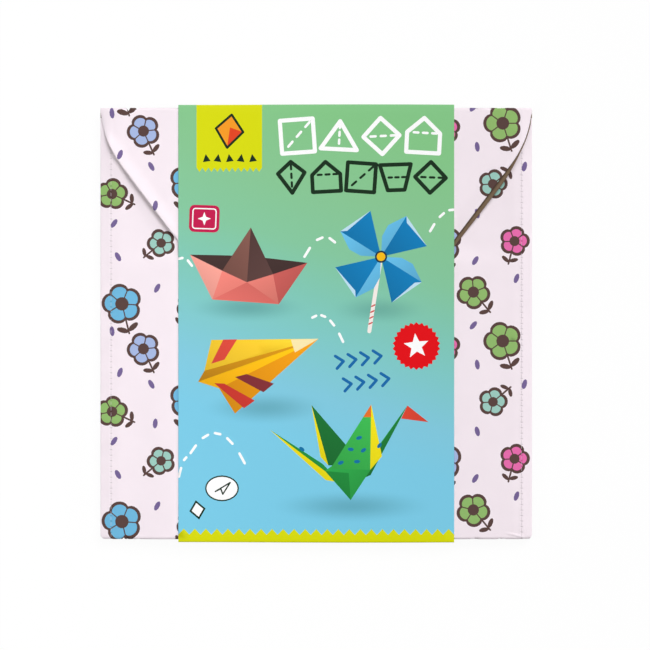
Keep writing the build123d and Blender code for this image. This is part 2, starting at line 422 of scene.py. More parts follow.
print_end = 0.55  # how far in from the edge the lip's crease lies
edge_rings = np.array([0.04, 0.12, 0.22, 0.32, 0.42, print_end, 1.2])
fine, coarse, in_fold = 2.2, 6.0, 0.25  # steps of the mesh on open cloth, under the sleeve and round a fold,
on_slope, on_back, slope_run = 0.9, 4.0, 12.0  # on the back's slopes, between them, and how far a slope runs
tip_angles = np.linspace(0.02, math.pi / 2 - flap_slant, 10)
rows = np.concatenate([
    [v_mouth], v_mouth - edge_rings, stations(v_mouth - 3, v_bottom_fold + 3, fine),
    stations(v_bottom_fold + 3, v_bottom_fold, 0.3), stations(v_bottom_fold, v_back, in_fold),
    stations(v_back, v_back - slope_run, on_slope), stations(v_back - slope_run, v_top_fold + slope_run, on_back),
    stations(v_top_fold + slope_run, v_top_fold, on_slope), stations(v_top_fold, v_flap, in_fold),
    stations(v_flap, v_flap - 3, 0.7), stations(v_flap - 3, touch_y - way_round, fine),
    tip_y - way_round - flap_tip_radius * np.cos(tip_angles),
])
rows = np.unique(np.round(rows, 4))[::-1]
seam_columns = [seam_x - 1.6, seam_x - 0.8, seam_x, seam_x + 0.6, seam_x + 1.2, seam_x + 2.2, seam_x + 3.8]
columns = np.concatenate([stations(0, 66, coarse), stations(68, sleeve_half + 2, 0.6),
                          stations(sleeve_half + 3.5, seam_x - 5, fine), [seam_x - 3.8, seam_x - 2.7], seam_columns])
columns = np.concatenate([-columns[:0:-1], columns])


def cloth_layout():
    """The cut line, the loose points that let the cloth bend, in rows along it and columns across it, and the
    rings close to its edge for the rounding and the lip, as short lines from row to row."""
    right = np.column_stack([cut_half_width(rows), rows])
    cut = np.vstack([right, [(0, v_tip)], right[::-1] * (-1, 1)])
    loose, lines = [], []
    stretch = np.minimum(edge_stretch(rows), 4)
    for v, half, wide in zip(rows[1:], right[1:, 0], stretch[1:]):
        loose += [(x, v) for x in columns[np.abs(columns) < half - 1.6 * wide]]
    for ring in edge_rings:
        x = right[:, 0] - ring * stretch
        keep = np.flatnonzero((x > 3 * ring) & (rows < v_mouth))
        for a, b in zip(keep, keep[1:]):
            lines += [((side * x[a], rows[a]), (side * x[b], rows[b])) for side in (1, -1)]
    return cut, loose, lines


def lining_lip(u, v):
    """How far the rolled edge pushes out what lies within its last half millimetre. On the right it is the
    lip, which goes out, and down with a small step under the print's edge, more so where the edge stands up.
    On the left it is the print itself, a little way out."""
    step, full_lift, at_top, lip, wider, on_left = 0.02, 2.3, 0.35, 1.6, 0.35, 0.3
    out = unit(np.column_stack([edge_distance(u - step, v) - edge_distance(u + step, v),
                                edge_distance(u, v - step) - edge_distance(u, v + step)]), 1e-9)
    standing = edge_lift(u, v) / full_lift
    share = 1 - edge_distance(u, v) / print_end
    free_edge = ramp(below_top(v), 20, 38)
    on_right = at_top * ramp(below_top(v), 3, 9) + (lip + wider * standing) * free_edge
    width = np.where(u > 0, on_right, on_left * free_edge)
    reach = np.clip((share - 0.2) / 0.8, 0, 1)
    fall = (0.2 + 0.3 * standing) * ramp(share, 0, 0.25) + 0.4 * standing * reach ** 2
    return np.column_stack([out * (width * reach)[:, None], -fall * ((width > 0) & (u > 0))])


cut, loose, rings = cloth_layout()
flat, faces, ink = cut_and_print(
    cut, loose, rings, repeat_fields(), lambda p: (np.abs(p[:, 0]) < cut_half_width(p[:, 1])) & (p[:, 1] < v_mouth))
u, v = flat.T
normal = unit(np.cross(*directions(u, v)))
to_edge = edge_distance(u, v)
rounding = np.clip(to_edge / (print_end + 1.6 * pressed_corner(u, v)), 0, 1)
half_thick = cloth_thickness / 2 * np.sqrt(1 - (1 - rounding) ** 2)
middle = folded(u, v) + lining_lip(u, v)
on_edge = to_edge < 0.6 * edge_rings[0]  # a print's edge that crosses the rim on an arc is up to 0.02 mm inside
has_depth = ~on_edge[faces].all(axis=1)
faces, ink = faces[has_depth], ink[has_depth]
half_thick[on_edge] = 0
outer = middle + normal * half_thick[:, None]
inner = middle - normal * half_thick[:, None]
inner_index = np.where(on_edge, np.arange(len(u)), len(u) + np.cumsum(~on_edge) - 1)
points = np.vstack([outer, inner[~on_edge]])
all_faces = np.vstack([faces, inner_index[faces][:, ::-1]])
flat_all = np.vstack([flat, flat[~on_edge]])

on_lip = (to_edge[faces].mean(axis=1) < 0.8 * print_end) & (u[faces].mean(axis=1) > 0)
on_lip &= v[faces].mean(axis=1) < v_flap - 2
# The lip's faces carry no print. The alpha of their ink is painted shade, darkest in the crease under the print's
# edge.
crease_painted_shade = np.clip((to_edge[faces] - edge_rings[2]) / (edge_rings[4] - edge_rings[2]), 0, 1)
ink[on_lip] = 0
ink[on_lip, :, 3] = crease_painted_shade[on_lip]
cloth = new_mesh("folded_cloth", points, all_faces, np.vstack([ink, np.zeros_like(ink)]), flat_all)
is_lining = np.concatenate([on_lip, np.ones(len(faces), bool)])
cloth.data.polygons.foreach_set("material_index", is_lining.astype(np.int32))


def add_node(tree, kind, inputs=None, **settings):
    """Adds a node with its settings. An input that is given a socket is linked, and any other is set."""
    node = tree.nodes.new(kind)
    for name, value in settings.items():
        setattr(node, name, value)
    for key, value in (inputs or {}).items():
        if isinstance(value, bpy.types.NodeSocket):
            tree.links.new(value, node.inputs[key])
        else:
            node.inputs[key].default_value = value
    return node


def maths(tree, operation, *values):
    """What a sum on one to three values gives."""
    return add_node(tree, "ShaderNodeMath", dict(enumerate(values)), operation=operation).outputs[0]


def ranged(tree, value, start, end, low=0.0, high=1.0, kind="LINEAR"):
    """A value that goes from start to end, carried over to go from low to high and held at both."""
    return add_node(tree, "ShaderNodeMapRange", {"Value": value, "From Min": start, "From Max": end, "To Min": low,
                    "To Max": high}, interpolation_type=kind).outputs["Result"]


def scaled(tree, vector, share):
    """A colour or a vector times a number."""
    return add_node(tree, "ShaderNodeVectorMath", {0: vector, "Scale": share}, operation="SCALE").outputs[0]


def blended(tree, share, first, second):
    """A colour between two, by the share of the second."""
    return add_node(tree, "ShaderNodeMix", {"Factor": share, "A": first, "B": second}, data_type="RGBA").outputs[2]


def noise(tree, place, scale, detail):
    """Even noise: its value as Fac and three values as Color. The scale is in cells to the metre."""
    return add_node(tree, "ShaderNodeTexNoise", {"Vector": place, "Scale": scale, "Detail": detail}).outputs


def printed_ink(tree):
    """The ink that a mesh carries at its corners, as Color, with Alpha 0 where nothing is printed. On the lining's
    lip, Alpha is painted shade.
    """
    return add_node(tree, "ShaderNodeVertexColor", layer_name="ink").outputs


def on_sheet(tree):
    """The place on the flat sheet, in metres."""
    return add_node(tree, "ShaderNodeUVMap", uv_map="flat").outputs["UV"]


def in_object(tree):
    """The place in the object, in metres."""
    return add_node(tree, "ShaderNodeTexCoord").outputs["Object"]


def new_material(name, roughness, specular=0.5):
    """A material with its shader and output. Returns the material, its tree and its shader."""
    material = bpy.data.materials.new(name)
    material.use_nodes = True
    tree = material.node_tree
    tree.nodes.clear()
    shader = add_node(tree, "ShaderNodeBsdfPrincipled")
    shader.inputs["Roughness"].default_value = roughness
    shader.inputs["Specular IOR Level"].default_value = specular
    add_node(tree, "ShaderNodeOutputMaterial", {"Surface": shader.outputs["BSDF"]})
    return material, tree, shader


def dress(tree, shader, colour, height=None, relief=1.0, strength=1.0):
    """Gives the shader its colour and, where there is a height, a relief of that many millimetres."""
    tree.links.new(colour, shader.inputs["Base Color"])
    if height is not None:
        bump = add_node(tree, "ShaderNodeBump", {"Height": height, "Distance": relief * MM, "Strength": strength})
        tree.links.new(bump.outputs["Normal"], shader.inputs["Normal"])


thread_spacing, stitch_pitch, stitch_x = 0.42, 2.8, seam_x + 0.6  # of the weave, and of the topstitching


def printed_cotton():
    """Plain-woven cotton, bleached to a pale lilac white and screen printed. It is matt, with a soft bloom
    from its loose fibres and a fine over-and-under weave, drawn a little coarser than the real 0.3 mm so that
    it shows. The seam's needle holes and the pull between them are part of its surface, and painted shade darkens
    the holes."""
    material, tree, shader = new_material("printed_plain_weave_cotton", 0.92, 0.15)
    place = on_sheet(tree)
    turns, waver, pull_width, hole_painted_shade = 2 * math.pi / (thread_spacing * MM), 3.0, 0.9, 0.24
    even = add_node(tree, "ShaderNodeVectorMath", {0: place, 1: (turns, turns, 0)}, operation="MULTIPLY")
    shift = scaled(tree, noise(tree, place, scale=90.0, detail=2.0)["Color"], waver)
    uneven = add_node(tree, "ShaderNodeVectorMath", {0: even.outputs[0], 1: shift})
    threads = add_node(tree, "ShaderNodeSeparateXYZ", {0: uneven.outputs[0]}).outputs
    weave = maths(tree, "MULTIPLY", maths(tree, "SINE", threads["X"]), maths(tree, "SINE", threads["Y"]))

    uv = add_node(tree, "ShaderNodeSeparateXYZ", {0: place}).outputs
    off_line = maths(tree, "SUBTRACT", maths(tree, "ABSOLUTE", uv["X"]), stitch_x * MM)
    on_line = ranged(tree, maths(tree, "ABSOLUTE", off_line), 0.0, pull_width * MM, 1.0, 0.0, "SMOOTHSTEP")
    on_line = maths(tree, "MULTIPLY", on_line, maths(tree, "GREATER_THAN", uv["Y"], v_top_fold * MM))
    beat = maths(tree, "SINE", maths(tree, "MULTIPLY", uv["Y"], math.pi / (stitch_pitch * MM)))
    holes = ranged(tree, maths(tree, "ABSOLUTE", beat), 0.12, 0.42, 1.0, 0.0, "SMOOTHSTEP")
    holes = maths(tree, "MULTIPLY", holes, on_line)

    slubs, ink = noise(tree, place, 55.0, 4.0)["Fac"], printed_ink(tree)
    dyed = blended(tree, ink["Alpha"], linear("#FAEEF5"), ink["Color"])
    mottled = scaled(tree, dyed, ranged(tree, slubs, 0.3, 0.7, 0.975, 1.0))
    # Painted shade: the colour is darkened in the needle holes.
    colour = scaled(tree, mottled, maths(tree, "MULTIPLY_ADD", holes, -hole_painted_shade, 1.0))
    height = maths(tree, "MULTIPLY", weave, 0.025)
    for layer, depth in ((slubs, 0.10), (on_line, -0.10), (holes, -0.25)):
        height = maths(tree, "MULTIPLY_ADD", layer, depth, height)
    dress(tree, shader, colour, height, strength=0.8)
    return material


def lining_cotton():
    """Thin undyed cotton lining in a warm brown. It is matt, and its weave is too fine to see. Painted shade
    darkens the crease where the lip meets the print."""
    material, tree, shader = new_material("brown_cotton_lining", 0.95, 0.1)
    slubs = noise(tree, on_sheet(tree), 240.0, 3.0)["Fac"]
    brown = blended(tree, slubs, linear("#6B5846"), linear("#846F59"))
    # The ink's alpha on the lip paints shade into the crease as a darker brown.
    dress(tree, shader, blended(tree, printed_ink(tree)["Alpha"], brown, linear("#3F3128")), slubs, 0.1)
    return material


cloth.data.materials.append(printed_cotton())
cloth.data.materials.append(lining_cotton())
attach(cloth, "pouch")
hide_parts("cloth_pouch")


# The side seams.
# Each side is closed by one row of machine topstitching in white cotton thread, through the front and the
# back, six millimetres in from the edge. A stitch is a short length of thread that dips into the cloth.

def stitch_row(side, v_start, v_end, ring=6, length_steps=7):
    """One row of stitches on the outer face. Each stitch is a tube along v: its middle line lies on the cloth
    and sinks at both ends as a sine, and its radius shrinks to a point there."""
    thread_width, hole_share, stitch_share, crown, sunk = 0.18, 0.07, 0.86, 0.30, 0.28
    count = int((v_start - v_end) / stitch_pitch)
    starts = (math.floor(v_start / stitch_pitch) - 1 - np.arange(count)) * stitch_pitch
    t = np.linspace(0, 1, length_steps)
    v_line = (starts[:, None] - stitch_pitch * (hole_share + stitch_share * t)).ravel()
    u_line = np.full(len(v_line), side * stitch_x)
    across, ahead = (unit(direction) for direction in directions(u_line, v_line))
    up = np.cross(across, ahead)
    swell = np.tile(np.sin(math.pi * t), count)
    radius = thread_width / 2 * np.sqrt(np.clip(swell, 0, 1))
    height = cloth_thickness / 2 + thread_width * (crown * swell - sunk)
    centre = folded(u_line, v_line) + up * height[:, None]
    a = np.arange(ring) * 2 * math.pi / ring
    tube = (centre[:, None] + radius[:, None, None] * (np.cos(a)[None, :, None] * across[:, None]
            + np.sin(a)[None, :, None] * up[:, None]))
    grid = np.arange(count * length_steps * ring).reshape(count, length_steps, ring)
    grid[:, 0], grid[:, -1] = grid[:, 0, :1], grid[:, -1, :1]
    a0, a1 = grid[:, :-1], grid[:, 1:]
    b0, b1 = np.roll(a0, -1, axis=2), np.roll(a1, -1, axis=2)
    faces = np.stack([a0, b0, b1, a0, b1, a1], axis=-1).reshape(-1, 3)
    faces = faces[(faces != np.roll(faces, 1, axis=1)).all(axis=1)]
    used, faces = np.unique(faces, return_inverse=True)
    return tube.reshape(-1, 3)[used], faces.reshape(-1, 3)


def seam_thread():
    """All rows of stitches as one mesh: both sides, front and back."""
    points, faces = [], []
    for side in (-1, 1):
        for v_start, v_end in ((v_mouth - 1, v_bottom_fold + 1), (v_back - 1, v_top_fold + 2)):
            row_points, row_faces = stitch_row(side, v_start, v_end)
            faces.append(row_faces + sum(len(p) for p in points))
            points.append(row_points)
    return new_mesh("side_seam_thread", np.vstack(points), np.vstack(faces))


def cotton_thread():
    """Two-ply white cotton sewing thread: matt, with a fine slanting twist."""
    material, tree, shader = new_material("white_cotton_thread", 0.85)
    twist = add_node(tree, "ShaderNodeTexWave", {"Vector": in_object(tree), "Scale": 900.0, "Distortion": 1.0},
                     bands_direction="DIAGONAL").outputs["Fac"]
    dress(tree, shader, blended(tree, twist, linear("#C4B9C0"), linear("#DACFD6")), twist, 0.05)
    return material


thread = seam_thread()
thread.data.materials.append(cotton_thread())
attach(thread, "pouch")


# The card sleeve.
# One strip of coated folding card, printed on its outer face and left white inside. It is creased four times
# round the pack, and the narrow flap at its start is glued inside its end.

card, crease_radius = 0.4, 0.3  # the card's thickness, and the inside of a crease
glue_flap, raw_edge = 15.0, 0.5  # the glued flap, and how far from its crease the end over it stops
outer_bend = card + crease_radius


def creased_path(corners, radius, steps=6):
    """A path through right-angled corners, each rounded to the radius. On an arc the point is the corner,
    less the radius times (1 - sin t) back along the way in, plus the radius times (1 - cos t) along the way
    out."""
    path = [corners[0]]
    for before, corner, after in zip(corners, corners[1:], corners[2:]):
        way_in = (corner - before) / np.linalg.norm(corner - before)
        way_out = (after - corner) / np.linalg.norm(after - corner)
        t = np.linspace(0, math.pi / 2, steps + 1)[:, None]
        path += list(corner + radius * ((1 - np.cos(t)) * way_out - (1 - np.sin(t)) * way_in))
    return np.array(path + [corners[-1]])


profile = creased_path(np.array([
    (glue_flap - sleeve_end, card), (-sleeve_end, card), (-sleeve_end, sleeve_top),
    (sleeve_end, sleeve_top), (sleeve_end, 0), (raw_edge + outer_bend - sleeve_end, 0)]), outer_bend)
profile_s = np.concatenate([[0], np.cumsum(np.linalg.norm(np.diff(profile, axis=0), axis=1))])
front_start = int(np.argmax(profile[:, 1] >= sleeve_top - 1e-6))
profile_s += profile[front_start, 0] - profile_s[front_start]


def wrapped(x, s):
    """Where a point of the flat strip lies on the folded sleeve. The strip follows its creased path, its
    front bulges a little over the pack as a cosine across it, and its long edges are not quite straight."""
    bulge_height, waver = 0.45, 0.14
    y, z = np.interp(s, profile_s, profile[:, 0]), np.interp(s, profile_s, profile[:, 1])
    on_front = np.clip(z / sleeve_top, 0, 1) ** 4
    inwards = np.cos(math.pi / 2 * np.clip(y / sleeve_end, -1, 1))
    bulge = bulge_height * np.cos(math.pi / 2 * x / sleeve_half) * np.sqrt(inwards)
    z = z + on_front * bulge
    y = y + waver * np.sin(x / 31 + 0.8) * (y / sleeve_end) ** 3
    return np.column_stack([x, y, z])


# The sleeve's print.
# Offset print on the outer face: a ground that fades from leaf green to sky blue, a yellow-green band and
# tab with pinked edges, and folded-paper figures. Each field of ink is cut into the mesh of the card.

white, night, lime = linear("#FFFFFF"), linear("#08240F"), linear("#D8DB04")


def pinked(x_start, x_end, y, pitch, depth, base_y):
    """A band from base_y to y whose edge at y is cut in a zigzag."""
    count = int(round(abs(x_end - x_start) / pitch))
    x = np.linspace(x_start, x_end, 2 * count + 1)
    edge = np.where(np.arange(len(x)) % 2 == 0, y - depth, y)
    return np.vstack([np.column_stack([x, edge]), [(x_end, base_y), (x_start, base_y)]])


def star(points, outer_radius, inner_radius):
    """A star: its corners lie by turns on two circles."""
    turn = math.pi / 2 + np.arange(2 * points) * math.pi / points
    return polar(np.where(np.arange(2 * points) % 2 == 0, outer_radius, inner_radius), turn)


def rounded_box(width, height, radius, cap=5):
    """A rectangle with round corners, about the origin."""
    turn, centre = np.linspace(0, math.pi / 2, cap), np.array([width / 2 - radius, height / 2 - radius])
    return np.vstack([centre * side + radius * polar(1, turn + k * math.pi / 2)
                      for k, side in enumerate([(1, 1), (-1, 1), (-1, -1), (1, -1)])])


def drawn(points, width, ink, closed=False):
    """A line of ink through the points, as one stroke for each of its straight stretches."""
    ends = list(points[1:]) + ([points[0]] if closed else [])
    return [(bar(start, end, width), ink) for start, end in zip(points, ends)]


def hop(start, end, height, dashes, width=1.3):
    """A dashed white arc from start to end: a parabola, drawn as short strokes with gaps between them."""
    t = np.linspace(0, 1, 2 * dashes)
    line = np.outer(1 - t, start) + np.outer(t, end)
    line[:, 1] += 4 * height * t * (1 - t)
    return [(bar(line[k], line[k + 1] * 0.86 + line[k] * 0.14, width), white) for k in range(0, len(t) - 1, 2)]


def pinwheel(x, y):
    """A paper windmill on a striped stick: four blades, each a dark half and a light folded half."""
    size, tilt = 24.0, 13.0
    fields = drawn([(0, 0), (-6, -38)], 2.0, linear("#F6ECE6"))
    fields += [(placed(bar((-0.8, -0.3), (0.8, 0.5), 0.7), -6 * k / 38, -k), linear("#CF4B45"))
               for k in range(25, 37, 3)]
    for k in range(4):
        corner = size * np.array([(0, 0), (1, 0), (0.72, 0.72), (0.30, 0.62), (0.12, 0.42)])
        turn = tilt + 90 * k
        fields.append((placed(corner[[0, 1, 2]], 0, 0, turn), linear("#0A78B2"), (0.012, 0.010)))
        fields.append((placed(corner[[0, 2, 3, 4]], 0, 0, turn), linear("#63B7E0"), (-0.010, 0.014)))
        fields.append((placed(corner[[1, 2]].tolist() + [corner[2] * 0.8 + corner[1] * 0.12], 0, 0, turn),
                       linear("#BFE0F2"), (0, 0)))
    fields += [(disc(3.1, 3.1), linear("#12303F")), (disc(2.2, 2.2), linear("#F7BC12"))]
    return [(placed(field[0], x, y), *field[1:]) for field in fields]


def folded_figure(parts, x, y, tilt, scale=1.0):
    """The fields of a folded-paper figure in its place: each part's outline, the code of its colour, and the
    share by which that changes per millimetre in x and in y."""
    return [(placed(points, x, y, tilt, scale), linear(code), shade) for points, code, shade in parts]


# A paper boat: two halves of the sail, the far side, and the folded hull with its two turned ends.
boat = [
    ([(-30, 8), (-11, 0), (11, 0), (30, 8), (10, 9), (-10, 9)], "#3E2B29", (0, 0.02)),
    ([(-13, 1), (0, 24), (0, -4)], "#7A5148", (0.015, 0.010)),
    ([(13, 1), (0, 24), (0, -4)], "#543A37", (0.012, -0.008)),
    ([(-30, 8), (-13, 1), (-17, -14)], "#F2A093", (0.010, 0.012)),
    ([(30, 8), (13, 1), (17, -14)], "#C25A55", (-0.010, 0.010)),
    ([(-13, 1), (0, -4), (13, 1), (17, -14), (-17, -14)], "#E77F74", (-0.006, 0.014)),
    ([(-17, -14), (0, -4), (17, -14)], "#DC6C64", (-0.006, -0.012)),
]
# A paper dart that points up to the right: far wing, keel, and near wing with its painted stripes.
glider = [
    ([(-20, 17), (34, 9), (-26, 2)], "#F8CB2E", (0.006, 0.010)),
    ([(-26, 2), (34, 9), (-30, -3)], "#C98A10", (0.004, 0.020)),
    ([(-30, -3), (34, 9), (-14, -22), (-20, -8)], "#F4B40A", (0.006, 0.012)),
    ([(-20, -8), (34, 9), (-14, -22)], "#E3930B", (0.008, 0.004)),
    ([(-9, -20), (-3, -17), (-17, -6), (-22, -5)], "#C5352B", (0.008, 0.006)),
    ([(2, -13.5), (8, -10), (-5, -3), (-11, -3.6)], "#7E2B31", (0.008, 0.006)),
    ([(-14, 16.2), (-7, 15.2), (-15, 6), (-22, 5)], "#D9483A", (0.008, 0.006)),
    ([(20, 10.9), (34, 9), (21, 4)], "#FBE9B0", (0, 0)),
]
# A folded paper crane from the side: tail, neck and bent head, far wing, body, near wing and blue spots.
crane = [
    ([(-41, 17), (-13, -4), (-4, -15)], "#1F8A3A", (0.006, 0.012)),
    ([(-41, 17), (-4, -15), (-12, -13)], "#E8D80E", (0.004, 0.008)),
    ([(36, 25), (12, -4), (4, -15)], "#23963F", (0.008, 0.010)),
    ([(36, 25), (4, -15), (13, -12)], "#17702F", (0.006, 0.010)),
    ([(36, 25), (47, 15), (32, 18)], "#D8432F", (-0.010, 0.004)),
    ([(-10, -5), (-17, 29), (10, -7)], "#156A2D", (0.006, 0.010)),
    ([(-10, -5), (-17, 29), (-14, 0)], "#E8D80E", (0.004, 0.010)),
    ([(-12, -8), (0, 0), (14, -8), (1, -25)], "#2BA046", (-0.010, 0.012)),
    ([(-12, -8), (1, -25), (1, -10)], "#1C8337", (0.006, 0.012)),
    ([(-9, -7), (16, 27), (13, -9)], "#38AE4C", (0.006, 0.010)),
    ([(16, 27), (13, -9), (20, -2)], "#F0E015", (0.004, 0.006)),
    ([(16, 27), (11.2, 20.3), (15.5, 20)], "#E8702A", (0, 0)),
]
crane += [(placed(disc(1.7, 1.0, 12), x, y, turn), "#0F6FA0", (0, 0)) for x, y, turn in (
    (-3, -4, 20), (3, 3, -10), (8, 9, 15), (6, -4, 0), (10, 2, 30), (-24, 5, -40), (19, 4, 50))]


def fold_steps(signs, x, y, pitch, half, width, ink):
    """A row of folding signs, each the outline of a sheet at one step with a dashed line for its next fold."""
    shapes = {
        "sheet": [(-1, -1), (1, -1), (1, 1), (-1, 1)], "tent": [(-1.1, -0.8), (1.1, -0.8), (0, 0.9)],
        "kite": [(0, -1.1), (0.95, 0.3), (0, 1.1), (-0.95, 0.3)],
        "lozenge": [(0, -1.1), (1.1, 0), (0, 1.1), (-1.1, 0)],
        "house": [(-1, -1), (1, -1), (1, 0.2), (0, 1.1), (-1, 0.2)],
        "cup": [(-0.6, -0.9), (0.6, -0.9), (1.1, 0.9), (-1.1, 0.9)],
    }
    creases = {
        "sheet": [(-1, -1), (1, 1)], "tent": [(0, -0.8), (0, 0.9)], "kite": [(0, -1.1), (0, 1.1)],
        "lozenge": [(-1.1, 0), (1.1, 0)], "house": [(-1, 0.2), (1, 0.2)], "cup": [(-0.85, 0), (0.85, 0)],
    }
    fields = []
    for k, (sign, turn) in enumerate(signs):
        fields += drawn(placed(shapes[sign], x + k * pitch, y, turn, half), width, ink, True)
        start, end = placed(creases[sign], x + k * pitch, y, turn, half)
        dashes = start + np.outer([0.2, 0.34, 0.48, 0.62, 0.76, 0.9], end - start)
        fields += [(bar(dashes[i], dashes[i + 1], 0.6 * width), ink) for i in (0, 2, 4)]
    return fields


def sleeve_fields():
    """Every field of ink on the sleeve, in the order of printing: the band and the tab with its lozenge and
    triangles, two rows of folding signs, a star badge, dashed hops, a round star seal, chevrons, the four
    figures, and two small signs in the bottom left corner."""
    fields = [(pinked(-sleeve_half, sleeve_half, -104.6, 5.6, 3.0, profile_s[0]), lime),
              (pinked(-61.0, -27.6, 77.2, 2.95, -2.2, sleeve_end + 9), lime)]
    lozenge = placed([(0, -8), (7, 1), (0, 9), (-7, 1)], -44.3, 97.5, -8)
    folded_side = placed([(0, -8), (7, 1), (0, 2.5)], -44.3, 97.5, -8)
    fields += [(lozenge, linear("#F59A23")), (folded_side, linear("#E0441F"))] + drawn(lozenge, 1.2, night, True)
    fields += [(placed([(-2, -1.7), (2, -1.7), (0, 2.2)], -56 + 5.9 * k, 84.2, 8 * (-1) ** k), night)
               for k in range(5)]
    fields += fold_steps([("sheet", 4), ("tent", -3), ("lozenge", 3), ("house", -3)],
                         -9.6, 95.4, 21.4, 8.4, 2.1, white)
    fields += fold_steps([("kite", 3), ("house", 3), ("sheet", -4), ("cup", 2), ("lozenge", -2)],
                         -12.6, 74.4, 17.7, 7.2, 2.0, night)
    badge = (-57.0, 53.4)
    fields.append((placed(rounded_box(15.4, 13.8, 2.6), *badge, -2), linear("#C2174D")))
    fields += drawn(placed(rounded_box(11.8, 10.2, 1.2, 3), *badge, -2), 0.6, white, True)
    fields.append((placed(star(4, 3.4, 1.3), *badge), white))
    fields += hop((58, 47), (70.2, 58), 3, 3) + hop((-70.2, 33), (-63, 29), 2, 2)
    fields += hop((-64, -66), (-36, -72), 13, 5) + hop((-2, 3), (14, -10), 6, 4)
    fields += hop((-70, -78), (-66, -68), 2, 2) + hop((-6, 34), (10, 41), 6, 3)
    seal = (51.0, -11.5)
    fields.append((placed(star(26, 12.2, 11.0), *seal), linear("#E20612")))
    fields.append((placed(star(5, 6.6, 2.8), *seal, 6), white))
    for start_x, start_y in ((12, -19.5), (16, -31)):
        for k in range(4):
            chevron = placed([(-1.9, 3.2), (1.9, 0), (-1.9, -3.2)], start_x + 6.4 * k, start_y + 0.9 * k, 8)
            fields += drawn(chevron, 1.5, linear("#1567A6"))
    fields += pinwheel(33, 34) + folded_figure(boat, -35, 25, -4) + folded_figure(glider, -31, -22, 9)
    fields += folded_figure(crane, 15, -67, 4, 0.92)
    fields += [(placed(disc(8.6, 6.6), -48, -84), night), (placed(disc(7.9, 5.9), -48, -84), white)]
    small_dart = placed([(-3.4, -2.0), (4.2, 2.6), (0.4, -3.4), (-0.6, -0.6)], -48, -83.6)
    fields += drawn(small_dart, 0.7, night, True)
    fields += [(placed([(0, -5), (4.2, 0), (0, 5), (-4.2, 0)], -60.5, -95, 10), night),
               (placed([(0, -3.6), (3.0, 0), (0, 3.6), (-3.0, 0)], -60.5, -95, 10), white)]
    return [(np.asarray(field[0], float), *field[1:]) for field in fields]


sleeve_rows = np.unique(np.concatenate([profile_s, *(stations(a, b, 5.0) for a, b in
                                        zip(profile_s, profile_s[1:]) if b - a > 4)]))
sleeve_columns = np.concatenate([[-sleeve_half], stations(0.2 - sleeve_half, sleeve_half - 0.2, 5.0), [sleeve_half]])
rim = [(-sleeve_half, s) for s in sleeve_rows] + [(x, sleeve_rows[-1]) for x in sleeve_columns[1:-1]]
rim += [(sleeve_half, s) for s in sleeve_rows[::-1]] + [(x, sleeve_rows[0]) for x in sleeve_columns[-2:0:-1]]
grid = [(x, s) for s in sleeve_rows[1:-1] for x in sleeve_columns[1:-1]]
creases = [((-sleeve_half, s), (sleeve_half, s)) for s in profile_s[1:-1]]
flat, faces, ink = cut_and_print(
    np.array(rim), grid, creases, sleeve_fields(),
    lambda p: (np.abs(p[:, 0]) < sleeve_half) & (p[:, 1] > profile_s[0]) & (p[:, 1] < profile_s[-1]))
sleeve = new_mesh("printed_sleeve", wrapped(*flat.T), faces, ink, flat)
thick = sleeve.modifiers.new("card thickness", "SOLIDIFY")
thick.thickness = card * MM
thick.offset = -1
thick.use_even_offset = True
thick.material_offset = 1
thick.material_offset_rim = 1


def printed_card():
    """Folding card with a clay-coated face, offset printed and sealed with a satin varnish: smooth, with a
    faint orange peel and a soft gloss."""
    material, tree, shader = new_material("varnished_printed_card", 0.42, 0.12)
    place, strip, ink = in_object(tree), on_sheet(tree), printed_ink(tree)
    slant, reach = (0.30, 1.0, 0.0), 110
    slanted = add_node(tree, "ShaderNodeVectorMath", {0: place, 1: slant}, operation="DOT_PRODUCT").outputs["Value"]
    ground = add_node(tree, "ShaderNodeValToRGB", {"Fac": ranged(tree, slanted, -reach * MM, reach * MM)})
    fade = [(-110, "#7BCCE8"), (-60, "#7CCBE6"), (-36, "#81C9DE"), (-6, "#80C9C6"), (14, "#80C7B4"),
            (38, "#84C69E"), (70, "#87C592"), (108, "#84C687")]
    stops = ground.color_ramp.elements
    while len(stops) < len(fade):
        stops.new(0.5)
    for stop, (y, code) in zip(stops, fade):
        stop.position = (y + reach) / (2 * reach)
        stop.color = linear(code)
    dark = 0.0
    for x, y, reach_x, reach_y, strength in ((32, 7, 26, 8, 0.34), (-35, 8, 32, 8, 0.42),
                                             (-26, -43, 34, 9, 0.40), (18, -93, 44, 9, 0.42)):
        far = add_node(tree, "ShaderNodeVectorMath", {0: strip, 1: (x * MM, y * MM, 0)}, operation="SUBTRACT")
        far = add_node(tree, "ShaderNodeVectorMath", {0: far.outputs[0], 1: (reach_x * MM, reach_y * MM, 1)},
                       operation="DIVIDE")
        far = add_node(tree, "ShaderNodeVectorMath", {0: far.outputs[0]}, operation="LENGTH").outputs["Value"]
        dark = maths(tree, "MAXIMUM", dark, ranged(tree, far, 0.0, 1.0, strength, 0.0, "SMOOTHSTEP"))
    shaded = blended(tree, dark, ground.outputs["Color"], linear("#2F6F72"))
    peel = noise(tree, place, 700.0, 2.0)["Fac"]
    dress(tree, shader, blended(tree, ink["Alpha"], shaded, ink["Color"]), peel, 0.02)
    return material


def white_fibres(name, scale, detail, low, high, roughness, relief=None):
    """White paper or card: short fibres between two shades, with a relief in millimetres if it shows."""
    material, tree, shader = new_material(name, roughness)
    fibres = noise(tree, in_object(tree), scale, detail)["Fac"]
    dress(tree, shader, blended(tree, fibres, linear(low), linear(high)), fibres if relief else None, relief)
    return material


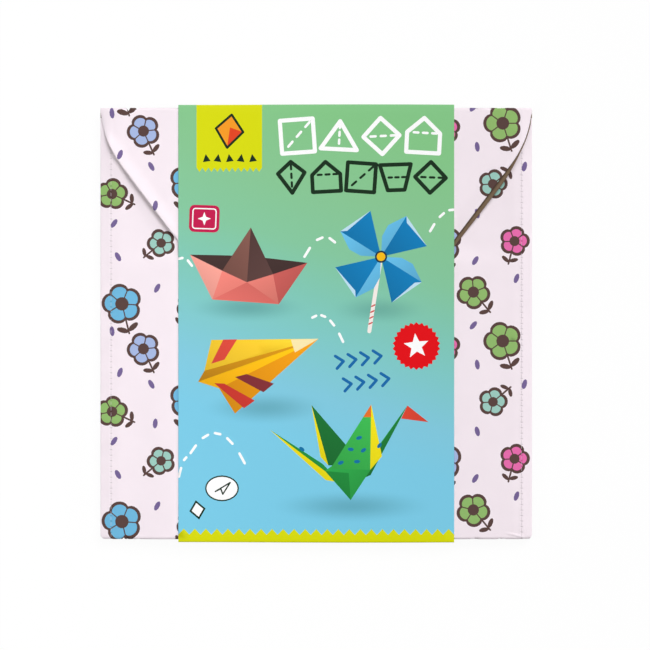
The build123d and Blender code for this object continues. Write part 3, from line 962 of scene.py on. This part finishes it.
# The inside and the cut edge are the bare white card: matt, with its fibres.
bare_card = white_fibres("uncoated_white_card", 1500.0, 5.0, "#DAD8D3", "#F3F2EE", 0.9, 0.05)
sleeve.data.materials.append(printed_card())
sleeve.data.materials.append(bare_card)
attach(sleeve, "sleeve")
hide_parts("card_sleeve")


# The craft paper and the booklet.
# The square sheets are a plain white uncoated paper, and the booklet a smooth coated one. Both lie inside the
# cloth, and keep the shapes that they have in the frame.

for node, paper, low, high, roughness in (
        ("paper_stack", "uncoated_craft_paper", "#E9E7E2", "#F5F4F0", 0.9),
        ("instruction_booklet", "coated_booklet_paper", "#EDEDEB", "#F8F8F7", 0.6)):
    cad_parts[node].data.materials.clear()
    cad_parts[node].data.materials.append(white_fibres(paper, 1200.0, 4.0, low, high, roughness))


# The table, the light and the camera.
# A white table, a large softbox above the top right, a small one close over the left side, a weak low one from
# the right and an even white surround. The camera looks straight down on the pack, from far enough off that
# its sides don't show.

def white_table():
    """A white table that stays white to the camera and keeps a faint shadow."""
    material, tree, shader = new_material("white_table", 1.0, 0.0)
    shader.inputs["Base Color"].default_value = white
    seen = add_node(tree, "ShaderNodeLightPath").outputs["Is Camera Ray"]
    glow = add_node(tree, "ShaderNodeEmission", {"Color": white, "Strength": 1.0})
    mixed = add_node(tree, "ShaderNodeMixShader", {0: maths(tree, "MULTIPLY", seen, 0.95),
                     1: shader.outputs["BSDF"], 2: glow.outputs["Emission"]})
    output = next(node for node in tree.nodes if node.type == "OUTPUT_MATERIAL")
    tree.links.new(mixed.outputs["Shader"], output.inputs["Surface"])
    return material


table_half = 3000.0
corners = table_half * np.array([(-1, -1, 0), (1, -1, 0), (1, 1, 0), (-1, 1, 0)])
floor = new_mesh("table", corners, np.array([(0, 1, 2, 3)]))
floor.data.materials.append(white_table())

world = bpy.data.worlds.new("white_surround")
bpy.context.scene.world = world
world.use_nodes = True
surround = world.node_tree
surround.nodes.clear()
ray = add_node(surround, "ShaderNodeLightPath").outputs
seen = maths(surround, "MAXIMUM", ray["Is Camera Ray"], ray["Is Glossy Ray"])
seen = maths(surround, "MAXIMUM", seen, ray["Is Transmission Ray"])
dim, bright = 0.19, 1.0  # what the white surround sheds on the pack, and what is seen of it
level = ranged(surround, seen, 0.0, 1.0, dim, bright)
sky = add_node(surround, "ShaderNodeBackground", {"Color": white, "Strength": level})
add_node(surround, "ShaderNodeOutputWorld", {"Surface": sky.outputs["Background"]})


def softbox(name, share, azimuth, height, distance, size):
    """A square lamp that faces the pack's middle. Its power is set from its share of the light there: on a
    white sheet that lies flat, a share of 1 renders as white."""
    data = bpy.data.lights.new(name, "AREA")
    data.shape = "SQUARE"
    data.size = size
    a, h = math.radians(azimuth), math.radians(height)
    data.energy = share * math.pi ** 2 * distance ** 2 / math.sin(h)
    lamp = bpy.data.objects.new(name, data)
    lamp.location = distance * Vector((math.cos(h) * math.cos(a), math.cos(h) * math.sin(a), math.sin(h)))
    lamp.rotation_euler = (-lamp.location).to_track_quat("-Z", "Y").to_euler()
    bpy.context.scene.collection.objects.link(lamp)


softbox("key_softbox", share=0.53, azimuth=61, height=54, distance=10.0, size=5.0)
softbox("left_softbox", share=0.24, azimuth=180, height=56, distance=0.55, size=0.25)
softbox("right_softbox", share=0.08, azimuth=5, height=20, distance=8.0, size=1.6)

pixel = 0.5093 * MM  # the size of one of the photo's pixels at the height of the sleeve's top
photo_width, photo_middle, pack_middle = 650, 325.0, (316.25, 323.5)  # in pixels
camera_data = bpy.data.cameras.new("camera")
camera_data.lens = 380
camera_data.sensor_width = 36
camera = bpy.data.objects.new("camera", camera_data)
distance = photo_width * pixel * camera_data.lens / camera_data.sensor_width
camera.location = ((photo_middle - pack_middle[0]) * pixel, (pack_middle[1] - photo_middle) * pixel,
                   sleeve_top * MM + distance)
bpy.context.scene.collection.objects.link(camera)
bpy.context.scene.camera = camera
bpy.context.scene.view_settings.view_transform = "Standard"
